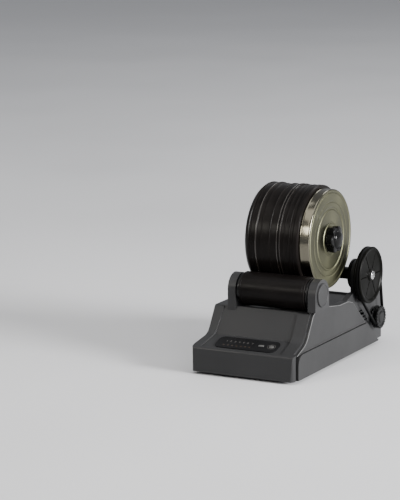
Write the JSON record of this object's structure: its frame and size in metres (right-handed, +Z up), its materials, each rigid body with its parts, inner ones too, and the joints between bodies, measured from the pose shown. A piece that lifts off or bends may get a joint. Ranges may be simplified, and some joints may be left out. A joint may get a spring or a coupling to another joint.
{
  "type": "rotary rock tumbler",
  "caption": "Bench rock tumbler: a black rubber barrel with a metal lid turns on two rollers over a moulded base with a sloped control panel and a side belt drive.",
  "frame": {"origin": "on the surface that the four rubber feet stand on, in the middle of the whole object's width and depth", "axes": "+X along the roller axes towards the belt drive and the barrel's lid, -Y towards the control panel, +Z up"},
  "size_m": [0.1309, 0.2338, 0.1882],
  "materials": {
    "housing_plastic": "dark grey moulded shell, fine even grain",
    "trim_plastic": "mid grey moulded plastic, fine even grain",
    "black_rubber": "smooth black rubber, satin",
    "barrel_rubber": "black rubber with a polished ring here and there",
    "belt_rubber": "black belt rubber, dull",
    "panel_gloss": "black overlay with a satin film",
    "light_plastic": "small amber lenses",
    "key_plastic": "light grey keys",
    "board_laminate": "green circuit board",
    "black_plastic": "black moulded plastic",
    "knob_plastic": "glossy black knob",
    "pulley_plastic": "dark grey-green moulded pulley",
    "bushing_plastic": "ivory bearing plastic",
    "lid_nickel": "warm nickel, turned finish",
    "bright_steel": "bright plated steel",
    "motor_steel": "zinc-plated steel",
    "insert_brass": "turned brass"
  },
  "bodies": {
    "base": {"upper_housing": "housing_plastic", "base_tray": "trim_plastic", "drive_side_cover": "trim_plastic", "rubber_feet": "black_rubber", "housing_screws": "bright_steel", "control_panel": "panel_gloss", "indicator_lights": "light_plastic", "control_board": "board_laminate", "key_switches": "black_plastic", "dc_inlet": "black_plastic", "front_bushings": "bushing_plastic", "rear_bushings": "bushing_plastic", "bearing_caps": "trim_plastic", "drive_belt": "belt_rubber", "gearhead": "motor_steel", "motor": "motor_steel", "motor_bracket": "motor_steel", "motor_screws": "bright_steel"},
    "barrel_body": {"barrel": "barrel_rubber"},
    "inner_lid_body": {"inner_lid": "lid_nickel", "lid_stud": "bright_steel"},
    "outer_lid_body": {"outer_lid": "lid_nickel", "lid_washer": "bright_steel"},
    "knob_body": {"lid_knob": "knob_plastic", "knob_insert": "insert_brass"},
    "front_roller": {"front_roller_shaft": "bright_steel", "front_roller_sleeve": "black_rubber", "front_roller_collars": "black_plastic"},
    "rear_roller": {"rear_roller_shaft": "bright_steel", "rear_roller_core": "black_plastic", "rear_roller_sleeve": "black_rubber", "drive_pulley": "pulley_plastic", "pulley_screw": "bright_steel"},
    "motor_drive": {"motor_pulley": "black_plastic", "motor_shaft": "bright_steel"},
    "power_key": {"power_button": "key_plastic"},
    "timer_key": {"timer_button": "key_plastic"}
  },
  "joints": [
    {"name": "barrel_spin", "type": "hinge", "parent": "base", "child": "barrel_body", "pos_m": [0, 0.004, 0.131], "axis": [1, 0, 0], "continuous": true},
    {"name": "front_roller_spin", "type": "hinge", "parent": "base", "child": "front_roller", "pos_m": [0, -0.0545, 0.0828], "axis": [1, 0, 0], "continuous": true},
    {"name": "rear_roller_spin", "type": "hinge", "parent": "base", "child": "rear_roller", "pos_m": [0, 0.0625, 0.0828], "axis": [1, 0, 0], "continuous": true},
    {"name": "motor_spin", "type": "hinge", "parent": "base", "child": "motor_drive", "pos_m": [0, 0.09, 0.0305], "axis": [1, 0, 0], "continuous": true},
    {"name": "inner_lid_pull", "type": "slide", "parent": "barrel_body", "child": "inner_lid_body", "axis": [1, 0, 0], "range_m": [0, 0.01]},
    {"name": "outer_lid_travel", "type": "slide", "parent": "inner_lid_body", "child": "outer_lid_body", "axis": [1, 0, 0], "range_m": [0, 0.003]},
    {"name": "knob_turn", "type": "hinge", "parent": "outer_lid_body", "child": "knob_body", "pos_m": [0.0421, 0.004, 0.131], "axis": [1, 0, 0], "range_deg": [0, 720.5]},
    {"name": "power_press", "type": "slide", "parent": "base", "child": "power_key", "axis": [0, 0.3153, -0.949], "range_m": [0, 0.0006], "stiffness_N_per_m": 300},
    {"name": "timer_press", "type": "slide", "parent": "base", "child": "timer_key", "axis": [0, 0.3153, -0.949], "range_m": [0, 0.0006], "stiffness_N_per_m": 300}
  ],
  "couplings": [
    {"joint": "front_roller_spin", "follows": "barrel_spin", "ratio": -3.1944},
    {"joint": "rear_roller_spin", "follows": "barrel_spin", "ratio": -3.1944},
    {"joint": "motor_spin", "follows": "barrel_spin", "ratio": -8.4191},
    {"joint": "knob_turn", "follows": "outer_lid_travel", "rad_per_m": 4188.8}
  ]
}
